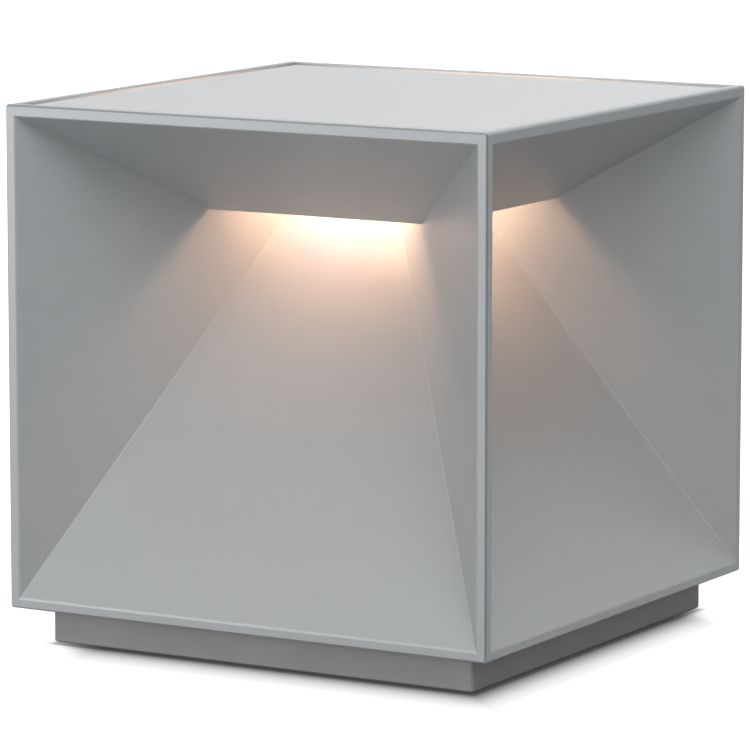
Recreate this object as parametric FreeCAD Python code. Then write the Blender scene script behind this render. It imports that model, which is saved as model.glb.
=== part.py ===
import FreeCAD, Part
import math
import os

# Cube-shaped cordless table lamp, in millimetres.
# Z is up from the table, the front is -Y, and the charging inlet is at the back, +Y.
# The origin is on the table under the middle of the lamp.

# Overall form
cube_side = 110.0
body_height = 102.2
body_bottom = 8.0
plinth_inset = 6.2

# Body casting: a frame with a strip of rim round each side opening, and four fins inside it
rim_side = 2.15
rim_top = 2.3
rim_bottom = 1.95
outer_edge = 0.35
rim_bevel = 0.16

# Shade: a funnel on the fins, with sloping soffits down to a lip round the LED board
lip_gap = 1.0
lip_drop = 22.1
shade_wall = 2.0

# Reflector: four plates that make a pyramid, its half width under the LED board and its wall
reflector_top_half = 5.5
reflector_wall = 2.4
reflector_cap = 2.4
base_rim_wall = 1.6

# Top panel and the seal that it rests on
top_rim_width = 2.15
panel_recess = 0.5
panel_thickness = 1.5
panel_gap = 0.4
panel_corner = 0.4
panel_bevel = 0.2
gasket_thickness = 0.6
gasket_margin = 0.35
ledge_width = 4.3

# Light source under the panel
board_thickness = 1.6
pad_thickness = 1.2
led_board_side = 52.0
led_board_chamfer = 3.0
board_hole_side = 8.0
led_distance = 17.5
led_side = 3.5
led_height = 0.8
led_pitch = 7.0
lens_length = 22.0
lens_width = 8.0
lens_height = 2.6
lens_taper = 0.8
lens_wall = 1.2
pad_side = 32.0
pad_hole_side = 12.0
contact_width = 2.4
contact_length = 7.0
contact_sheet = 0.25

# Screws of the light source
led_screw_radius = 1.2
led_screw_head_radius = 2.2
led_screw_head_height = 0.9
led_screw_length = 6.0
led_screw_margin = 4.0
led_boss_radius = 3.5

# Lead up the hollow reflector, and its grommet
lead_radius = 1.2
grommet_sleeve_radius = 2.2
lead_end_gap = 0.3
lead_foot_x = 13.5
lead_foot_inset = 12.8

# Base plate that closes the body from below
base_plate_thickness = 2.0
base_plate_gap = 0.2
base_plate_corner = 1.2
window_side_room = 9.0
window_front_room = 3.5
window_corner = 3.0

# Plinth, a moulded tray on rubber feet
foot_stand = 0.5
plinth_floor = 1.8
plinth_wall = 2.6
plinth_corner = 0.8
plinth_edge = 0.3
plinth_boss_wall = 1.4
seal_width = 1.2
seal_depth = 0.6
seal_inset = 0.7

# Screws that clamp plinth and base plate to the body
post_inset = 9.0
body_boss_radius = 3.8
body_boss_height = 24.0
plinth_screw_radius = 1.5
plinth_screw_head_radius = 2.75
plinth_screw_head_height = 2.4
plinth_screw_length = 15.0
thread_clearance = 0.05
hole_clearance = 0.2
tip_clearance = 0.8
screw_sides = 12
lead_sides = 6

# Rubber feet over the screw heads
foot_radius = 6.0
foot_thickness = 1.5
foot_gap = 0.15

# Battery pack
cell_radius = 9.2
cell_length = 65.0
cell_button_radius = 3.0
cell_button_height = 0.6
cell_gap = 0.6
pack_centre_y = -6.0
holder_floor = 1.5
holder_wall = 1.8
holder_height = 9.0
holder_clearance = 0.15
tape_thickness = 1.0
tape_width = 12.0
tape_inset = 2.0
tab_thickness = 0.2
tab_width = 6.0
strap_width = 12.0
strap_thickness = 0.5

# Control board with the charging inlet
control_board_width = 40.0
control_board_depth = 22.8
socket_overhang = 2.4
control_board_thickness = 1.2
control_board_corner = 1.0
control_post_side = 5.0
control_screw_radius = 1.0
control_screw_head_radius = 1.9
control_screw_head_height = 1.2
control_screw_length = 4.5
control_screw_margin = 3.2
inlet_width = 8.94
inlet_height = 3.2
inlet_length = 7.3
inlet_wall = 0.3
inlet_cavity = 6.2
inlet_setback = 2.6
inlet_floor_gap = 0.2
inlet_opening_gap = 0.35
tongue_width = 6.7
tongue_thickness = 0.7
tongue_length = 4.8

# Parts on the control board
chip_side = 5.0
chip_height = 0.9
inductor_side = 6.0
inductor_height = 3.0
inductor_edge = 0.9
capacitor_radius = 2.0
capacitor_height = 4.0
plug_width = 6.0
plug_depth = 5.0
plug_height = 4.0
part_pitch = 8.5

# Lead from the battery to the control board
battery_lead_radius = 0.9
battery_lead_start_y = 2.0
battery_lead_turn_y = 18.0
battery_lead_drop_x = 26.0

# Flap over the charging inlet, on an upright hinge pin
flap_thickness = 1.2
flap_height = 4.5
flap_reach = 9.0
flap_corner = 1.0
flap_gap = 0.35
flap_barrel_radius = 1.25
flap_hinge_x = 10.9
flap_hinge_setback = 1.35
flap_swing_room = 1.9
flap_plug_length = 0.95
flap_plug_gap = 0.4
pin_radius = 0.5
pin_bore_clearance = 0.05
pin_seat_clearance = 0.02
pin_seat = 0.6
hinge_block_wall = 1.6
nail_notch_radius = 2.2
nail_notch_depth = 0.8

# Route of the lead as shares of its foot's distance from the middle and of its rise
lead_route_shares = [(1, 0), (1, 0.165), (0.55, 0.44), (0, 0.74), (0, 1)]

# One overrun serves every cut that has to pass through a surface
overrun = 1.0
arc_share = 0.45
small = 1e-6

# Derived planes and lines
half = cube_side / 2
body_top = body_bottom + body_height
opening_bottom = body_bottom + rim_bottom
opening_top = body_top - rim_top
opening_half = half - rim_side
lip_z = body_top - lip_drop
lip_half = led_board_side / 2 + lip_gap
lip_depth = half - lip_half
soffit_fall = (opening_top - lip_z) / lip_depth
shade_rise = shade_wall * math.hypot(1, soffit_fall)
shade_low = lip_z + shade_rise
shade_edge = opening_top - top_rim_width * soffit_fall

panel_top = body_top - panel_recess
panel_underside = panel_top - panel_thickness
panel_half = half - top_rim_width - panel_gap
ledge_z = panel_underside - gasket_thickness
pocket_half = half - top_rim_width
mouth_half = pocket_half - ledge_width
board_top = panel_underside - pad_thickness
board_seat = board_top - board_thickness
led_screw_offset = led_board_side / 2 - led_screw_margin
core_half = led_screw_offset + led_boss_radius
cap_underside = board_seat - reflector_cap
reflector_run = (half - reflector_top_half) / (board_seat - opening_bottom)
reflector_wall_run = reflector_wall * math.hypot(1, reflector_run)

base_plate_top = body_bottom + base_plate_thickness
base_pocket_half = half - base_rim_wall
base_plate_half = base_pocket_half - base_plate_gap

plinth_half = half - plinth_inset
plinth_cavity_half = plinth_half - plinth_wall
post_offset = plinth_half - post_inset
plinth_floor_top = foot_stand + plinth_floor
plinth_boss_side = 2 * (foot_radius + foot_gap + plinth_boss_wall)
screw_head_top = foot_thickness + tip_clearance + plinth_screw_head_height

inlet_z = plinth_floor_top + inlet_floor_gap + inlet_height / 2
control_board_underside = inlet_z + inlet_height / 2
control_board_top = control_board_underside + control_board_thickness
inlet_front = plinth_half - inlet_setback
control_board_back = inlet_front - socket_overhang
control_board_front = control_board_back - control_board_depth
hinge_y = plinth_half - flap_hinge_setback
flap_bottom = inlet_z - flap_height / 2
flap_top = inlet_z + flap_height / 2

holder_half_length = cell_length / 2 + holder_clearance + holder_wall
cell_offset = cell_radius + cell_gap / 2
holder_half_width = cell_offset + cell_radius + holder_wall
holder_bottom = base_plate_top + tape_thickness
holder_top = holder_bottom + holder_floor + holder_height
cell_z = holder_bottom + holder_floor + cell_radius


def vector(x, y, z):
    return FreeCAD.Vector(x, y, z)


def reflector_half(z):
    """Half width of the reflector's outer surface at a height."""
    return half - (z - opening_bottom) * reflector_run


def shade_top(depth):
    """Height of the shade's upper surface at a depth behind the side face."""
    return opening_top + shade_rise - depth * soffit_fall


def block(x_low, x_high, y_low, y_high, z_low, z_high):
    return Part.makeBox(x_high - x_low, y_high - y_low, z_high - z_low, vector(x_low, y_low, z_low))


def cylinder(x, y, z_low, z_high, radius):
    return Part.makeCylinder(radius, z_high - z_low, vector(x, y, z_low))


def is_upright(edge):
    start, end = edge.Vertexes[0].Point, edge.Vertexes[-1].Point
    return abs(start.x - end.x) < small and abs(start.y - end.y) < small and abs(start.z - end.z) > small


def round_upright(solid, radius):
    """Round the vertical edges of a block."""
    return solid.makeFillet(radius, [edge for edge in solid.Edges if is_upright(edge)])


def cut_upright(solid, size):
    """Cut the vertical edges of a block off at 45 degrees."""
    return solid.makeChamfer(size, [edge for edge in solid.Edges if is_upright(edge)])


def level_edges(solid, z):
    """Edges that lie in one level plane."""
    return [edge for edge in solid.Edges if all(abs(v.Point.z - z) < small for v in edge.Vertexes)]


def upright_bar(x, y, side, z_low, z_high):
    """Square bar that stands round an upright axis."""
    reach = side / 2
    return block(x - reach, x + reach, y - reach, y + reach, z_low, z_high)


def square_plate(half_side, z_low, z_high):
    return block(-half_side, half_side, -half_side, half_side, z_low, z_high)


def flat_face(points):
    return Part.Face(Part.makePolygon(points + [points[0]]))


def taper(near, far):
    """Solid with flat faces between two outlines of as many corners."""
    faces = [flat_face(near), flat_face(far)]
    for place in range(len(near)):
        after = (place + 1) % len(near)
        faces.append(flat_face([near[place], near[after], far[after], far[place]]))
    solid = Part.makeSolid(Part.makeShell(faces))
    if solid.Volume < 0:
        solid.reverse()
    return solid


def square_frustum(low_half, z_low, high_half, z_high):
    """Four-sided taper between two level squares."""
    return taper([vector(x, y, z_low) for x, y in corner_places(low_half)],
                 [vector(x, y, z_high) for x, y in corner_places(high_half)])


def extrude(points, direction):
    """Extrude a closed outline along a vector."""
    return flat_face(points).extrude(direction)


def four_sides(solid):
    """The solid and its copies turned to the other three sides."""
    turns = range(4)
    quarter = 360 / len(turns)
    return [solid.rotated(vector(0, 0, 0), vector(0, 0, 1), quarter * turn) for turn in turns]


def regular_outline(sides, radius):
    turns = [2 * math.pi * side / sides for side in range(sides)]
    return [vector(radius * math.cos(turn), radius * math.sin(turn), 0) for turn in turns]


def corner_places(across, along=None):
    """Corners of a level rectangle round the middle, or of a square from one half width."""
    if along is None:
        along = across
    return [(across * a, along * b) for a, b in [(-1, -1), (1, -1), (1, 1), (-1, 1)]]


def stadium(centre_x, centre_z, width, height, y_front, y_back):
    """Upright slot shape with round ends, running from y_front back to y_back."""
    radius = height / 2
    reach = width / 2 - radius
    length = y_front - y_back
    back = vector(0, 1, 0)
    body = block(centre_x - reach, centre_x + reach, y_back, y_front,
                 centre_z - radius, centre_z + radius)
    ends = [Part.makeCylinder(radius, length, vector(centre_x + side * reach, y_back, centre_z), back)
            for side in (-1, 1)]
    return body.fuse(ends).removeSplitter()


def tube_along(points, radius, name):
    """Six-sided lead along straight runs that tangent arcs join."""
    edges = []
    start_point = points[0]
    start = start_point
    radii = []
    for before, corner, after in zip(points, points[1:], points[2:]):
        into = (corner - before).normalize()
        out = (after - corner).normalize()
        half_turn = into.getAngle(out) / 2
        trim = arc_share * min((corner - before).Length, (after - corner).Length)
        bend = trim / math.tan(half_turn)
        radii.append(round(bend, 1))
        arc_start = corner - into * trim
        arc_end = corner + out * trim
        inward = (out - into).normalize()
        centre = corner + inward * (bend / math.cos(half_turn))
        edges.append(Part.LineSegment(start, arc_start).toShape())
        edges.append(Part.Arc(arc_start, centre - inward * bend, arc_end).toShape())
        start = arc_end
    edges.append(Part.LineSegment(start, points[-1]).toShape())
    path = Part.Wire(edges)
    outline = regular_outline(lead_sides, radius)
    section = Part.makePolygon(outline + [outline[0]])
    turn = FreeCAD.Rotation(vector(0, 0, 1), points[1] - start_point)
    section.Placement = FreeCAD.Placement(start_point, turn)
    tube = path.makePipeShell([section], True, False)
    expected = Part.Face(section).Area * path.Length
    print(name, "bend radii", radii, "volume against section times length", round(tube.Volume / expected, 4))
    return tube


def screw(x, y, seat_z, radius, length, head_radius, head_height, points_down):
    """Plain screw, a many-sided shank and a head on its seat."""
    shank = extrude(regular_outline(screw_sides, radius), vector(0, 0, length))
    head = extrude(regular_outline(screw_sides, head_radius), vector(0, 0, -head_height))
    whole = shank.fuse(head)
    if points_down:
        whole = whole.rotated(vector(0, 0, 0), vector(1, 0, 0), 180)
    return whole.translated(vector(x, y, seat_z))


def between_fins():
    """Upright wedge over the front side, between the faces of two fins."""
    plan = [(-opening_half - overrun, -half - overrun), (opening_half + overrun, -half - overrun),
            (0, opening_half - half)]
    return extrude([vector(x, y, 0) for x, y in plan], vector(0, 0, body_top + overrun))


def side_prism(section):
    """Outline of depths outwards and heights, run along the front side and cut off at the fins."""
    outline = [vector(-half - overrun, -out, z) for out, z in section]
    return extrude(outline, vector(cube_side + 2 * overrun, 0, 0)).common(between_fins())


def side_recess():
    """Space in front of one reflector plate: under the soffit and up behind the lip."""
    return side_prism([
        (half + overrun, opening_bottom - overrun / reflector_run),
        (reflector_half(board_seat), board_seat),
        (lip_half, board_seat),
        (lip_half, lip_z),
        (half + overrun, opening_top + overrun * soffit_fall)])


def reflector_plate():
    """Flat plate of the front side, from the base plate up to the cap."""
    foot_top = opening_bottom + base_rim_wall / reflector_run
    return side_prism([
        (base_pocket_half, base_plate_top),
        (base_pocket_half, foot_top),
        (reflector_half(cap_underside), cap_underside),
        (reflector_half(cap_underside) - reflector_wall_run, cap_underside),
        (reflector_half(base_plate_top) - reflector_wall_run, base_plate_top)])


def opening_bevel():
    """Small bevel round the mouth of one side opening."""
    outlines = []
    for depth, grow in ((0, rim_bevel), (rim_bevel, 0)):
        wide = opening_half + grow - depth
        low = opening_bottom - grow + depth / reflector_run
        high = opening_top + grow - depth * soffit_fall
        y = depth - half
        corners = [(-wide, low), (wide, low), (wide, high), (-wide, high)]
        outlines.append([vector(x, y, z) for x, z in corners])
    return taper(outlines[0], outlines[1])


def shade_form(top):
    """The shade's outer form, filled, up to a height."""
    slopes = square_frustum(lip_half, lip_z, pocket_half, shade_edge)
    return slopes.fuse(square_plate(pocket_half, shade_edge, top))


def reflector_hollow():
    """Space between the fins inside the pyramid, open at the bottom, around the four screw bosses."""
    low = body_bottom - overrun
    slopes = square_frustum(reflector_half(low) - reflector_wall_run, low,
                            reflector_half(cap_underside) - reflector_wall_run, cap_underside)
    boss_top = base_plate_top + body_boss_height
    bosses = [cylinder(x, y, base_plate_top, boss_top, body_boss_radius)
              for x, y in corner_places(post_offset)]
    plate_pocket = cut_upright(square_plate(base_pocket_half, body_bottom - overrun, base_plate_top),
                               base_plate_corner)
    return slopes.cut(Part.Compound(bosses)).fuse(plate_pocket)


def make_lamp_body():
    """Frame with four fins that carry the reflector's plates, the shade and the LED board."""
    body = square_plate(half, body_bottom, body_top)
    body = body.makeChamfer(outer_edge, body.Edges)
    bosses = [cylinder(x, y, shade_low, board_seat, led_boss_radius)
              for x, y in corner_places(led_screw_offset)]
    body = body.cut(four_sides(side_recess().cut(Part.Compound(bosses))))
    body = body.cut(four_sides(opening_bevel()))
    body = body.cut(shade_form(body_top + overrun).cut(square_plate(core_half, lip_z, board_seat)))
    body = body.cut(four_sides(reflector_plate()))
    body = body.cut(reflector_hollow())
    lead_hole = cylinder(0, 0, cap_underside - overrun, board_seat + overrun,
                         grommet_sleeve_radius + thread_clearance)
    holes = [lead_hole]
    thread_radius = led_screw_radius + thread_clearance
    thread_low = board_top - led_screw_length - tip_clearance
    for x, y in corner_places(led_screw_offset):
        holes.append(cylinder(x, y, thread_low, board_seat + overrun, thread_radius))
    thread_radius = plinth_screw_radius + thread_clearance
    thread_high = screw_head_top + plinth_screw_length + tip_clearance
    for x, y in corner_places(post_offset):
        holes.append(cylinder(x, y, body_bottom, thread_high, thread_radius))
    return body.cut(holes)


def make_reflector_plates():
    return Part.Compound(four_sides(reflector_plate()))


def make_shade():
    """Funnel inside the top rim, with sloping soffits and a ledge for the top panel."""
    mouth_low = shade_top(half - mouth_half)
    inside = square_frustum(lip_half, shade_low, mouth_half, mouth_low).fuse([
        square_plate(lip_half, lip_z, shade_low),
        square_plate(mouth_half, mouth_low, ledge_z)])
    return shade_form(ledge_z).cut(inside)


def make_top_panel():
    panel = cut_upright(square_plate(panel_half, panel_underside, panel_top), panel_corner)
    return panel.makeChamfer(panel_bevel, level_edges(panel, panel_top))


def make_panel_gasket():
    outer = pocket_half - gasket_margin
    inner = mouth_half + gasket_margin
    ring = square_plate(outer, ledge_z, panel_underside)
    return ring.cut(square_plate(inner, ledge_z, panel_underside))


def make_thermal_pad():
    pad = square_plate(pad_side / 2, board_top, panel_underside)
    return pad.cut(square_plate(pad_hole_side / 2, board_top, panel_underside))


def make_touch_contact():
    """Bent spring leaf from the LED board up to the underside of the panel."""
    reach = contact_length / 2
    lower = [(-reach, 0), (0, 0), (reach, pad_thickness - contact_sheet)]
    upper = [(x, z + contact_sheet) for x, z in reversed(lower)]
    outline = [vector(x, -contact_width / 2, board_top + z) for x, z in lower + upper]
    return extrude(outline, vector(0, contact_width, 0))


def make_led_board():
    board = cut_upright(square_plate(led_board_side / 2, board_seat, board_top), led_board_chamfer)
    holes = [square_plate(board_hole_side / 2, board_seat, board_top)]
    for x, y in corner_places(led_screw_offset):
        holes.append(cylinder(x, y, board_seat, board_top, led_screw_radius + hole_clearance))
    return board.cut(holes)


def make_led_chips():
    """A row of three LEDs along each side of the board."""
    row = [upright_bar(place * led_pitch, -led_distance, led_side, board_seat - led_height, board_seat)
           for place in (-1, 0, 1)]
    return Part.Compound([turned for chip in row for turned in four_sides(chip)])


def make_led_lenses():
    """Frosted bars over the four rows of LEDs, with tapered sides and a pocket."""
    wide, deep = lens_length / 2, lens_width / 2
    low = [vector(x, y, board_seat - lens_height)
           for x, y in corner_places(wide - lens_taper, deep - lens_taper)]
    high = [vector(x, y, board_seat) for x, y in corner_places(wide, deep)]
    room_wide, room_deep = wide - lens_wall, deep - lens_wall
    pocket = block(-room_wide, room_wide, -room_deep, room_deep,
                   board_seat - led_height - hole_clearance, board_seat)
    bar = taper(low, high).cut(pocket).translated(vector(0, -led_distance, 0))
    return Part.Compound(four_sides(bar))


def make_led_board_screws():
    return Part.Compound([
        screw(x, y, board_top, led_screw_radius, led_screw_length, led_screw_head_radius,
              led_screw_head_height, True)
        for x, y in corner_places(led_screw_offset)])


def make_lead_grommet():
    """Rubber bush in the hole through the top of the reflector."""
    sleeve = cylinder(0, 0, cap_underside, board_seat, grommet_sleeve_radius)
    return sleeve.cut(cylinder(0, 0, cap_underside, board_seat, lead_radius + thread_clearance))


def make_led_lead():
    foot_y = control_board_back - lead_foot_inset
    rise = board_top - lead_end_gap - control_board_top
    points = [vector(lead_foot_x * plan, foot_y * plan, control_board_top + rise * height)
              for plan, height in lead_route_shares]
    return tube_along(points, lead_radius, "led_lead")


def make_base_plate():
    plate = cut_upright(square_plate(base_plate_half, body_bottom, base_plate_top), base_plate_corner)
    window_half = control_board_width / 2 + window_side_room
    window = block(-window_half, window_half, control_board_front - window_front_room, control_board_back,
                   body_bottom, base_plate_top)
    holes = [round_upright(window, window_corner)]
    for x, y in corner_places(post_offset):
        holes.append(cylinder(x, y, body_bottom, base_plate_top, plinth_screw_radius + hole_clearance))
    return plate.cut(holes)


def flap_pocket():
    """Recess in the back of the plinth for the flap and its swing, with a nail notch at the free end."""
    low = flap_bottom - flap_gap
    high = flap_top + flap_gap
    floor_y = plinth_half - flap_thickness - flap_gap
    outside = plinth_half + overrun
    face = block(-flap_reach - flap_gap, flap_hinge_x, floor_y, outside, low, high)
    room = flap_barrel_radius + flap_gap
    hinge = block(flap_hinge_x - room, flap_hinge_x + flap_swing_room, hinge_y - room, outside, low, high)
    notch = Part.makeCylinder(nail_notch_radius, nail_notch_depth + overrun,
                              vector(-flap_reach, plinth_half - nail_notch_depth, inlet_z), vector(0, 1, 0))
    return face.fuse([hinge, notch])


def make_plinth():
    plinth = round_upright(square_plate(plinth_half, foot_stand, body_bottom), plinth_corner)
    plinth = plinth.makeChamfer(plinth_edge, level_edges(plinth, foot_stand))
    cavity = square_plate(plinth_cavity_half, plinth_floor_top, body_bottom + overrun)
    keep = [upright_bar(x, y, plinth_boss_side, plinth_floor_top, body_bottom)
            for x, y in corner_places(post_offset)]
    block_reach = flap_swing_room + hinge_block_wall
    block_back = hinge_y - flap_barrel_radius - flap_gap - hinge_block_wall
    keep.append(block(flap_hinge_x - block_reach, flap_hinge_x + block_reach, block_back, plinth_half,
                      plinth_floor_top, body_bottom))
    for x, y in control_post_places():
        keep.append(upright_bar(x, y, control_post_side, plinth_floor_top, control_board_underside))
    plinth = plinth.cut(cavity.cut(Part.Compound(keep)))
    seal_outer = plinth_half - seal_inset
    groove_low = body_bottom - seal_depth
    groove = square_plate(seal_outer, groove_low, body_bottom + overrun)
    groove = groove.cut(square_plate(seal_outer - seal_width, groove_low, body_bottom + overrun))
    cuts = [groove, flap_pocket()]
    cuts.append(stadium(0, inlet_z, inlet_width + 2 * inlet_opening_gap,
                        inlet_height + 2 * inlet_opening_gap,
                        plinth_half + overrun, plinth_cavity_half - overrun))
    pin_low = flap_bottom - flap_gap - pin_seat
    pin_high = flap_top + flap_gap + pin_seat
    cuts.append(cylinder(flap_hinge_x, hinge_y, pin_low, pin_high, pin_radius + pin_seat_clearance))
    for x, y in corner_places(post_offset):
        cuts.append(cylinder(x, y, 0, screw_head_top, foot_radius + foot_gap))
        cuts.append(cylinder(x, y, 0, body_bottom + overrun, plinth_screw_radius + hole_clearance))
    thread_low = control_board_top - control_screw_length
    for x, y in control_screw_places():
        cuts.append(cylinder(x, y, thread_low, control_board_underside + overrun,
                             control_screw_radius + thread_clearance))
    return plinth.cut(cuts)


def make_plinth_seal():
    outer = plinth_half - seal_inset - thread_clearance
    inner = plinth_half - seal_inset - seal_width + thread_clearance
    ring = square_plate(outer, body_bottom - seal_depth, body_bottom)
    return ring.cut(square_plate(inner, body_bottom - seal_depth, body_bottom))


def make_plinth_screws():
    return Part.Compound([
        screw(x, y, screw_head_top, plinth_screw_radius, plinth_screw_length, plinth_screw_head_radius,
              plinth_screw_head_height, False)
        for x, y in corner_places(post_offset)])


def make_rubber_feet():
    return Part.Compound([
        cylinder(x, y, 0, foot_thickness, foot_radius) for x, y in corner_places(post_offset)])


def cell_places():
    return [pack_centre_y - cell_offset, pack_centre_y + cell_offset]


def make_battery_cells():
    cells = []
    along = vector(1, 0, 0)
    for y in cell_places():
        can_length = cell_length - cell_button_height
        cell = Part.makeCylinder(cell_radius, can_length, vector(-cell_length / 2, y, cell_z), along)
        button = Part.makeCylinder(cell_button_radius, cell_button_height,
                                   vector(can_length - cell_length / 2, y, cell_z), along)
        cells.append(cell.fuse(button))
    return Part.Compound(cells)


def make_battery_holder():
    """Cradle with a saddle for each cell."""
    reach = holder_half_length
    width = holder_half_width
    body = block(-reach, reach, pack_centre_y - width, pack_centre_y + width, holder_bottom, holder_top)
    body = round_upright(body, holder_wall)
    room = cell_length / 2 + holder_clearance
    saddles = [Part.makeCylinder(cell_radius + holder_clearance, 2 * room, vector(-room, y, cell_z),
                                 vector(1, 0, 0))
               for y in cell_places()]
    return body.cut(saddles)


def make_holder_tapes():
    """Two strips of foam tape that hold the cradle on the base plate."""
    width = holder_half_width - tape_inset
    tapes = []
    for side in (-1, 1):
        middle = side * (holder_half_length - tape_inset - tape_width / 2)
        tapes.append(block(middle - tape_width / 2, middle + tape_width / 2, pack_centre_y - width,
                           pack_centre_y + width, base_plate_top, holder_bottom))
    return Part.Compound(tapes)


def make_cell_tabs():
    """Nickel strips that join the two cells at each end, above the holder's wall."""
    tabs = []
    for side in (-1, 1):
        inner = side * cell_length / 2
        outer = inner + side * tab_thickness
        tabs.append(block(min(inner, outer), max(inner, outer), pack_centre_y - cell_offset - tab_width / 2,
                          pack_centre_y + cell_offset + tab_width / 2, holder_top, holder_top + tab_width))
    return Part.Compound(tabs)


def stadium_band(radius, half_width):
    """Outline prism of a band round both cells, along X."""
    bodies = [Part.makeCylinder(radius, 2 * half_width, vector(-half_width, y, cell_z), vector(1, 0, 0))
              for y in cell_places()]
    front, back = cell_places()
    bodies.append(block(-half_width, half_width, front, back, cell_z - radius, cell_z + radius))
    return bodies[0].fuse(bodies[1:]).removeSplitter()


def make_battery_strap():
    """Band over both cells, held down by the holder's long walls."""
    inner = cell_radius + hole_clearance
    band = stadium_band(inner + strap_thickness, strap_width / 2).cut(stadium_band(inner, strap_width / 2))
    width = holder_half_width + strap_thickness
    above = block(-strap_width / 2, strap_width / 2, pack_centre_y - width, pack_centre_y + width,
                  holder_top, cell_z + inner + strap_thickness)
    return band.common(above)


def make_battery_lead():
    start_x = cell_length / 2 + tab_thickness + battery_lead_radius
    start_z = holder_top + tab_width / 2
    plug_x = plug_centre()[0] + plug_width / 2
    plug_y = plug_centre()[1]
    plug_z = control_board_top + plug_height / 2
    points = [
        vector(start_x, battery_lead_start_y, start_z),
        vector(start_x, battery_lead_turn_y, start_z),
        vector(battery_lead_drop_x, plug_y, plug_z),
        vector(plug_x, plug_y, plug_z)]
    return tube_along(points, battery_lead_radius, "battery_lead")


def control_screw_places():
    """Two screws, at opposite corners of the control board."""
    x = control_board_width / 2 - control_screw_margin
    return [(-x, control_board_front + control_screw_margin), (x, control_board_back - control_screw_margin)]


def control_post_places():
    x = control_board_width / 2 - control_screw_margin
    return [(side * x, y) for side in (-1, 1)
            for y in (control_board_front + control_screw_margin, control_board_back - control_screw_margin)]


def make_control_board():
    board = block(-control_board_width / 2, control_board_width / 2, control_board_front, control_board_back,
                  control_board_underside, control_board_top)
    board = cut_upright(board, control_board_corner)
    return board.cut([
        cylinder(x, y, control_board_underside, control_board_top, control_screw_radius + hole_clearance)
        for x, y in control_screw_places()])


def make_board_screws():
    return Part.Compound([
        screw(x, y, control_board_top, control_screw_radius, control_screw_length - tip_clearance,
              control_screw_head_radius, control_screw_head_height, True)
        for x, y in control_screw_places()])


def make_usb_socket():
    """Charging inlet: a stadium shell with a tongue inside."""
    back = inlet_front - inlet_length
    shell = stadium(0, inlet_z, inlet_width, inlet_height, inlet_front, back)
    cavity = stadium(0, inlet_z, inlet_width - 2 * inlet_wall, inlet_height - 2 * inlet_wall,
                     inlet_front + overrun, inlet_front - inlet_cavity)
    tongue = block(-tongue_width / 2, tongue_width / 2, inlet_front - inlet_cavity,
                   inlet_front - inlet_cavity + tongue_length, inlet_z - tongue_thickness / 2,
                   inlet_z + tongue_thickness / 2)
    return shell.cut(cavity).fuse(tongue).removeSplitter()


def plug_centre():
    return (0, control_board_front + control_screw_margin + plug_depth / 2)


def make_board_parts():
    """Battery plug, charger and dimmer chips, inductor and capacitors on top of the control board."""
    low = control_board_top
    x, y = plug_centre()
    parts = [block(x - plug_width / 2, x + plug_width / 2, y - plug_depth / 2, y + plug_depth / 2, low,
                   low + plug_height)]
    row = control_board_back - inlet_length - inductor_side / 2
    for place in (-1, 0):
        parts.append(upright_bar(place * part_pitch, row, chip_side, low, low + chip_height))
    inductor = upright_bar(part_pitch, row, inductor_side, low, low + inductor_height)
    parts.append(cut_upright(inductor, inductor_edge))
    parts.append(cylinder(-part_pitch, y, low, low + capacitor_height, capacitor_radius))
    return Part.Compound(parts)


def make_charge_flap():
    """Rubber flap with its hinge barrel and the plug that fills the inlet's mouth."""
    inner_y = plinth_half - flap_thickness
    leaf = block(-flap_reach, flap_hinge_x, inner_y, plinth_half, flap_bottom, flap_top)
    free_edges = []
    for edge in leaf.Edges:
        ends = [v.Point for v in edge.Vertexes]
        level = abs(ends[0].z - ends[1].z) < small and abs(ends[0].x - ends[1].x) < small
        if level and ends[0].x < 0:
            free_edges.append(edge)
    leaf = leaf.makeFillet(flap_corner, free_edges)
    barrel = cylinder(flap_hinge_x, hinge_y, flap_bottom, flap_top, flap_barrel_radius)
    width = inlet_width + 2 * inlet_opening_gap - 2 * flap_plug_gap
    height = inlet_height + 2 * inlet_opening_gap - 2 * flap_plug_gap
    plug = stadium(0, inlet_z, width, height, inner_y, inner_y - flap_plug_length)
    bore = cylinder(flap_hinge_x, hinge_y, flap_bottom - overrun, flap_top + overrun,
                    pin_radius + pin_bore_clearance)
    return leaf.fuse([barrel, plug]).cut(bore).removeSplitter()


def make_flap_pin():
    return cylinder(flap_hinge_x, hinge_y, flap_bottom - flap_gap - pin_seat, flap_top + flap_gap + pin_seat,
                    pin_radius)


makers = {
    "lamp_body": make_lamp_body,
    "reflector_plates": make_reflector_plates,
    "shade": make_shade,
    "top_panel": make_top_panel,
    "panel_gasket": make_panel_gasket,
    "thermal_pad": make_thermal_pad,
    "touch_contact": make_touch_contact,
    "led_board": make_led_board,
    "led_chips": make_led_chips,
    "led_lenses": make_led_lenses,
    "led_board_screws": make_led_board_screws,
    "lead_grommet": make_lead_grommet,
    "led_lead": make_led_lead,
    "base_plate": make_base_plate,
    "plinth": make_plinth,
    "plinth_seal": make_plinth_seal,
    "plinth_screws": make_plinth_screws,
    "rubber_feet": make_rubber_feet,
    "battery_cells": make_battery_cells,
    "battery_holder": make_battery_holder,
    "holder_tapes": make_holder_tapes,
    "cell_tabs": make_cell_tabs,
    "battery_strap": make_battery_strap,
    "battery_lead": make_battery_lead,
    "control_board": make_control_board,
    "board_screws": make_board_screws,
    "usb_socket": make_usb_socket,
    "board_parts": make_board_parts,
    "charge_flap": make_charge_flap,
    "flap_pin": make_flap_pin,
}

os.makedirs("parts", exist_ok=True)
for name, make in makers.items():
    shape = make()
    solids = len(shape.Solids)
    print(name, "solids", solids, "valid", shape.isValid(), "volume", round(shape.Volume, 2))
    shape.exportStep(os.path.join("parts", name + ".step"))
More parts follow.
